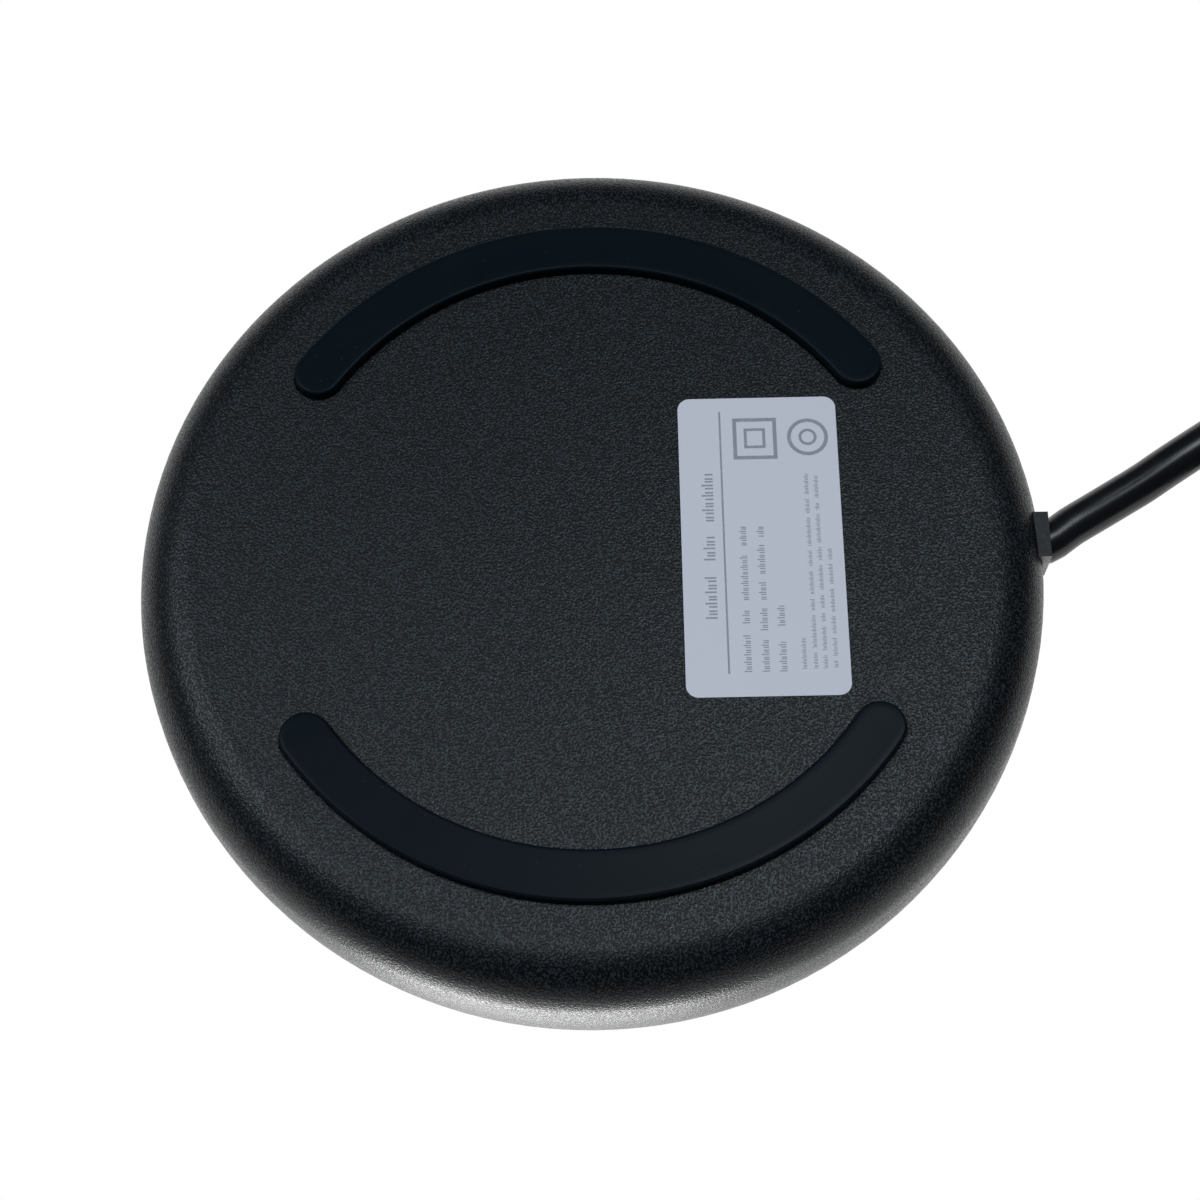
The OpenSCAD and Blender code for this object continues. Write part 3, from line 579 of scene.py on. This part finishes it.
def add_label_print():
    outlines = [plate(*LINE)]
    for middle, height, start, end, words in PRINT_ROWS:
        gap = (end - start - sum(words)) / max(len(words) - 1, 1)
        x = start
        for number, word in enumerate(words):
            outlines += word_strokes(x, x + word, middle, height, number * WORD_SHIFT)
            x += word + gap
    for square in SQUARES:
        outlines += frame_outline(*square)
    for ring in RINGS:
        outlines += ring_outline(*ring)
    vertices, faces = prisms(outlines, LABEL_Z - PRINT_T, LABEL_Z)
    piece("label_print", vertices, faces, "label_film", material=label_print(), smooth=False)


add_label_print()

# ---------------------------------------------------------------- marks on the buttons

BUTTON_TOP = 27.8
POWER_PLACE = (-13.34, -46.52)
TEMPERATURE_PLACE = (13.34, -46.52)
MARK_PROUD = 0.03


def add_mark(name, place, outlines, body):
    """Printed mark on a button. Its outlines are measured from the middle of the button."""
    moved = [[(place[0] + x, place[1] + y) for x, y in outline] for outline in outlines]
    vertices, faces = prisms(moved, BUTTON_TOP - MARK_PROUD, BUTTON_TOP + MARK_PROUD)
    piece(name, vertices, faces, "button_plastic", body, material=pad_print(), smooth=False)


def add_marks():
    """A bar in the gap of a ring, and a thermometer with three ticks."""
    start, end = 90 + 34, 450 - 34
    ring = arc(0, -0.2, 2.2, start, end, 48) + arc(0, -0.2, 1.8, end, start, 48)
    bar = arc(0, 2.2, 0.2, 0, 180, 8) + arc(0, 0.4, 0.2, 180, 360, 8)
    add_mark("power_mark", POWER_PLACE, [ring, bar], "power_button")
    glass = arc(0, 1.9, 0.42, 0, 180, 10) + arc(0, -1.35, 0.95, 116, 424, 32)
    ticks = [plate(0.85, 1.7, y - 0.14, y + 0.14) for y in (1.7, 0.85, 0)]
    add_mark("temperature_mark", TEMPERATURE_PLACE, [glass] + ticks, "temperature_button")


add_marks()

# ---------------------------------------------------------------- plug

# Lengths along the plug run in -X from PLUG_END, where the cord goes in
PLUG_END = (2, 177, 7)
PLUG_POINTS = 120
BOOT_L, BOOT_R0, BOOT_R1 = 20, 3.4, 4.9
PLUG_L, PLUG_HALF_W, PLUG_HALF_T, PLUG_R = 24, 12, 7, 4
PLUG_WAIST = 1.3
PLUG_EDGE = 1.2  # radius of the edge round the face that the blades stand in
BOOT_EDGE = 0.3
GROOVE_PITCH, GROOVE_W, GROOVE_DEPTH = 2.9, 1.2, 0.75
GROOVE_EDGE, GROOVE_SLOPE = 0.2, 0.1
# From the boot to the plug's full section: where it starts, its length, and how much it steps out
FLARE_GAP, FLARE_L, FLARE_STEP, FLARE_PARTS = 0.8, 10.2, 0.3, 12
WAIST_START, WAIST_PARTS = BOOT_L + 11.2, 60
# Ridges across the broad sides, and how far their ends stay from the narrow sides
GRIP_START, GRIP_END = BOOT_L + 12.5, BOOT_L + PLUG_L - 3
GRIP_RIDGES, GRIP_DEPTH = 5, 0.5
GRIP_MARGIN, GRIP_FADE = 2.5, 1.5


def section_reach(a, b, r, angle):
    """Distance from the middle of a rounded rectangle, half sizes a and b, to its outline."""
    c, s = abs(math.cos(angle)), abs(math.sin(angle))
    if c > 1e-9 and a / c * s <= b - r:
        return a / c
    if s > 1e-9 and b / s * c <= a - r:
        return b / s
    along = c * (a - r) + s * (b - r)
    aside = (a - r) ** 2 + (b - r) ** 2 - along ** 2
    return along + math.sqrt(max(r * r - aside, 0))


def plug_ring(s, a, b, r):
    """One ring of the plug, s mm from PLUG_END: a rounded rectangle, grooved where the grip is."""
    ring = []
    wave = 0
    if GRIP_START < s < GRIP_END:
        turns = GRIP_RIDGES * (s - GRIP_START) / (GRIP_END - GRIP_START)
        wave = 0.5 - 0.5 * math.cos(2 * math.pi * turns)
    for i in range(PLUG_POINTS):
        angle = 2 * math.pi * i / PLUG_POINTS
        reach = section_reach(a, b, r, angle)
        y, z = reach * math.cos(angle), reach * math.sin(angle)
        if wave and abs(z) > b - 0.01:
            inside = ease((a - GRIP_MARGIN - abs(y)) / GRIP_FADE)
            z -= math.copysign(GRIP_DEPTH * wave * inside, z)
        ring.append((PLUG_END[0] - s, PLUG_END[1] + y, PLUG_END[2] + z))
    return ring


def add_plug():
    """Moulded plug in one piece with its tapered boot, which has a groove all round per pitch."""
    rings = []
    for share in (0.3, 0.8):
        rings.append(plug_ring(0, BOOT_R0 * share, BOOT_R0 * share, BOOT_R0 * share))
    s = 0
    while s < BOOT_L - 1:
        r = BOOT_R0 + (BOOT_R1 - BOOT_R0) * s / BOOT_L
        edge, deep = GROOVE_EDGE, r - GROOVE_DEPTH
        groove = GROOVE_PITCH - GROOVE_W
        for at, size in (
            (0, r - edge if s else r - BOOT_EDGE), (edge, r), (groove - edge, r),
            (groove, r - edge), (groove + GROOVE_SLOPE, deep), (GROOVE_PITCH - GROOVE_SLOPE, deep),
        ):
            if s + at < BOOT_L:
                rings.append(plug_ring(s + at, size, size, size))
        s += GROOVE_PITCH
    flare_r = BOOT_R1 + FLARE_STEP
    for i in range(FLARE_PARTS + 1):
        t = i / FLARE_PARTS
        a, b, r = [
            flare_r + (size - BOOT_R1 - FLARE_STEP) * ease(t)
            for size in (PLUG_HALF_W, PLUG_HALF_T, PLUG_R)
        ]
        rings.append(plug_ring(BOOT_L + FLARE_GAP + FLARE_L * t, a, b, min(r, a, b)))
    end = BOOT_L + PLUG_L - PLUG_EDGE
    for i in range(WAIST_PARTS + 1):
        s = WAIST_START + (end - WAIST_START) * i / WAIST_PARTS
        waist = PLUG_WAIST * math.sin(math.pi * i / WAIST_PARTS) ** 2
        rings.append(plug_ring(s, PLUG_HALF_W - waist, PLUG_HALF_T, PLUG_R))
    for degrees in range(15, 91, 15):
        a = math.radians(degrees)
        inset = PLUG_EDGE * (1 - math.cos(a))
        rings.append(plug_ring(
            end + PLUG_EDGE * math.sin(a),
            PLUG_HALF_W - inset, PLUG_HALF_T - inset, PLUG_R - inset,
        ))
    plug = piece("plug_moulding", *loft(rings), "plug_pvc")
    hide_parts("plug_body")
    return plug


plug = add_plug()

# ---------------------------------------------------------------- tie round the coil

TIE_ANGLE = 259.8
TIE_W, TIE_T = 8, 0.5
TIE_LAP = 15
TIE_STEP = 0.4  # between the band's sections, along it
TIE_GAP = 0.03  # between the band and the cord
LAP_GAP = 0.02  # between the band and its lapped end
LAP_RISE = 6  # steps over which the lapped end rises onto the band
LAP_ROUND, LAP_TIP = 8, 0.25  # steps over which its end is rounded, and how blunt it is
TURN_CORNERS = 48  # of the outline taken for one turn's section
# Section of the band: shares of half its width and of its thickness
TIE_SECTION = [
    (-1, 0.18), (-0.97, 0), (0.97, 0), (1, 0.18), (1, 0.82), (0.97, 1), (-0.97, 1), (-1, 0.82)
]


def hull(points):
    """Convex outline round the points, anticlockwise."""
    def turn(o, a, b):
        return (a[0] - o[0]) * (b[1] - o[1]) - (a[1] - o[1]) * (b[0] - o[0])

    points = sorted(set(points))
    halves = []
    for line in (points, points[::-1]):
        half = []
        for q in line:
            while len(half) > 1 and turn(half[-2], half[-1], q) <= 0:
                half.pop()
            half.append(q)
        halves.append(half[:-1])
    return halves[0] + halves[1]


def add_tie():
    """Hook-and-loop band drawn tight round the turns, with its end lapped over the top."""
    # Middles of the turns that the band touches, from the coil's axis and from the table
    turns = [
        (COIL_RADII[2], COIL_LEVELS[0]), (COIL_RADII[1], COIL_LEVELS[0]), (COIL_RADII[0], 8.5),
        (COIL_RADII[1], COIL_LEVELS[1]), (COIL_RADII[2], COIL_LEVELS[1]),
    ]
    reach = CORD_D / 2 + TIE_GAP
    around = [2 * math.pi * i / TURN_CORNERS for i in range(TURN_CORNERS)]
    outline = hull([
        (round(r + reach * math.cos(a), 5), round(z + reach * math.sin(a), 5))
        for r, z in turns for a in around
    ])
    # Even steps round the outline, starting on top near the coil's outer side
    dense = []
    for (r0, z0), (r1, z1) in zip(outline, outline[1:] + outline[:1]):
        n = max(1, round(math.hypot(r1 - r0, z1 - z0) / TIE_STEP))
        dense += [(r0 + (r1 - r0) * i / n, z0 + (z1 - z0) * i / n) for i in range(n)]
    first = max(range(len(dense)), key=lambda i: dense[i][1] * 100 + dense[i][0])
    dense = dense[first:] + dense[:first]
    count = len(dense)
    lap = round(TIE_LAP / TIE_STEP)
    turn = math.radians(TIE_ANGLE)
    out_way = (math.cos(turn), math.sin(turn))
    side_way = (-math.sin(turn), math.cos(turn))
    rings = []
    for k in range(count + lap + 1):
        r, z = dense[k % count]
        before, after = dense[(k - 1) % count], dense[(k + 1) % count]
        along = Vector((after[0] - before[0], after[1] - before[1])).normalized()
        normal = Vector((along.y, -along.x))
        lift = (TIE_T + LAP_GAP) * ease((k - count + LAP_RISE) / LAP_RISE)
        end = min(1.0, LAP_TIP + (count + lap - k) / LAP_ROUND)
        half = TIE_W / 2 * math.sqrt(1 - (1 - end) ** 2)
        section = []
        for side, share in TIE_SECTION:
            height = lift + TIE_T * share
            rr, zz = r + normal.x * height, z + normal.y * height
            section.append((
                COIL_CENTRE[0] + out_way[0] * rr + side_way[0] * side * half,
                COIL_CENTRE[1] + out_way[1] * rr + side_way[1] * side * half,
                zz,
            ))
        rings.append(section)
    tie = piece("hook_and_loop_tie", *loft(rings), "tie_band")
    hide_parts("cord_tie")
    return tie


tie = add_tie()

# ---------------------------------------------------------------- light and floor

# Height of a direction where the change starts and ends, then the strength below and above it
WORLD_LIGHT = (-0.1, 0.25, 0.033, 0.5)
WORLD_MIRRORED = (-0.03, 0.1, 0.033, 1.0)


def add_world():
    """Bright above the horizon and dim below it; the camera sees white everywhere."""
    world = bpy.data.worlds.new("studio")
    bpy.context.scene.world = world
    world.use_nodes = True
    tree = world.node_tree
    tree.nodes.clear()

    def add(kind, inputs=None, **settings):
        return add_node(tree, kind, inputs, **settings)

    def rise(start, end, low, high):
        return add(
            "ShaderNodeMapRange",
            {"Value": up, "From Min": start, "From Max": end, "To Min": low, "To Max": high},
            interpolation_type="SMOOTHSTEP",
        ).outputs["Result"]

    def choose(factor, a, b):
        return add("ShaderNodeMix", {0: factor, 2: a, 3: b}, data_type="FLOAT").outputs[0]

    coords = add("ShaderNodeTexCoord").outputs["Generated"]
    up = add("ShaderNodeSeparateXYZ", {0: coords}).outputs["Z"]
    path = add("ShaderNodeLightPath").outputs
    mirrored = add(
        "ShaderNodeMath", {0: path["Is Glossy Ray"], 1: path["Is Transmission Ray"]},
        operation="MAXIMUM",
    ).outputs[0]
    light = choose(mirrored, rise(*WORLD_LIGHT), rise(*WORLD_MIRRORED))
    strength = choose(path["Is Camera Ray"], light, 1.0)
    sky = add("ShaderNodeBackground", {"Color": (1, 1, 1, 1), "Strength": strength})
    tree.links.new(sky.outputs[0], add("ShaderNodeOutputWorld").inputs["Surface"])


def add_softbox(name, tilt, turn, width, height, radiance, color=(1, 1, 1), distance=0.9):
    """Rectangular lamp that faces the object, tilt degrees from straight below and turned from +X.

    Sizes are in m. A radiance of 1 renders white in a mirror. The height runs along the tilt."""
    data = bpy.data.lights.new(name, "AREA")
    data.shape = "RECTANGLE"
    data.size = width
    data.size_y = height
    data.energy = radiance * math.pi * width * height
    data.color = color
    lamp = bpy.data.objects.new(name, data)
    t, a = math.radians(tilt), math.radians(turn)
    away = Vector((math.sin(t) * math.cos(a), math.sin(t) * math.sin(a), -math.cos(t)))
    lamp.location = away * distance
    lamp.rotation_euler = away.to_track_quat("Z", "Y").to_euler()
    lamp.visible_camera = False
    bpy.context.scene.collection.objects.link(lamp)


FLOOR_R = 3.5
FLOOR_SIDES = 96


def add_floor():
    """Pale floor under the feet, seen only from above, so the camera below looks through it.

    Only the camera sees it: it blocks no light and shows in no reflection."""
    mesh = bpy.data.meshes.new("floor")
    edge = [2 * math.pi * i / FLOOR_SIDES for i in range(FLOOR_SIDES)]
    corners = [(FLOOR_R * math.cos(a), FLOOR_R * math.sin(a), 0) for a in edge]
    mesh.from_pydata(corners, [], [tuple(range(FLOOR_SIDES))])
    floor = bpy.data.objects.new("floor", mesh)
    bpy.context.scene.collection.objects.link(floor)
    m = Nodes("floor")
    pale = m.mix(m.noise(3, 2), (0.86, 0.86, 0.86, 1), (0.88, 0.88, 0.88, 1))
    matte = m.add("ShaderNodeBsdfDiffuse", {"Color": pale})
    gone = m.add("ShaderNodeBsdfTransparent")
    back = m.add("ShaderNodeNewGeometry").outputs["Backfacing"]
    choose = m.add("ShaderNodeMixShader", {0: back, 1: matte.outputs[0], 2: gone.outputs[0]})
    m.tree.links.new(choose.outputs[0], m.out.inputs["Surface"])
    mesh.materials.append(m.material)
    floor.visible_diffuse = False
    floor.visible_glossy = False
    floor.visible_transmission = False
    floor.visible_shadow = False


COOL = (0.84, 0.95, 1.0)
RIM_DISTANCE = 3.0

add_world()
add_softbox("below", 2, 140, 0.76, 0.16, 2.8, COOL)
add_softbox("below_front", 34, -77, 0.38, 0.48, 4.3, COOL)
add_softbox("below_back", 19, 60, 0.24, 0.44, 3.1, COOL)
add_softbox("below_side", 15, 20, 0.34, 0.18, 2.1, COOL)
add_softbox("rim", 149, 192, 2.0, 0.87, 9.5, distance=RIM_DISTANCE)
add_softbox("rim_front", 131, 213, 0.8, 0.67, 9, distance=RIM_DISTANCE)
add_floor()

scene = bpy.context.scene
scene.view_settings.view_transform = "Standard"
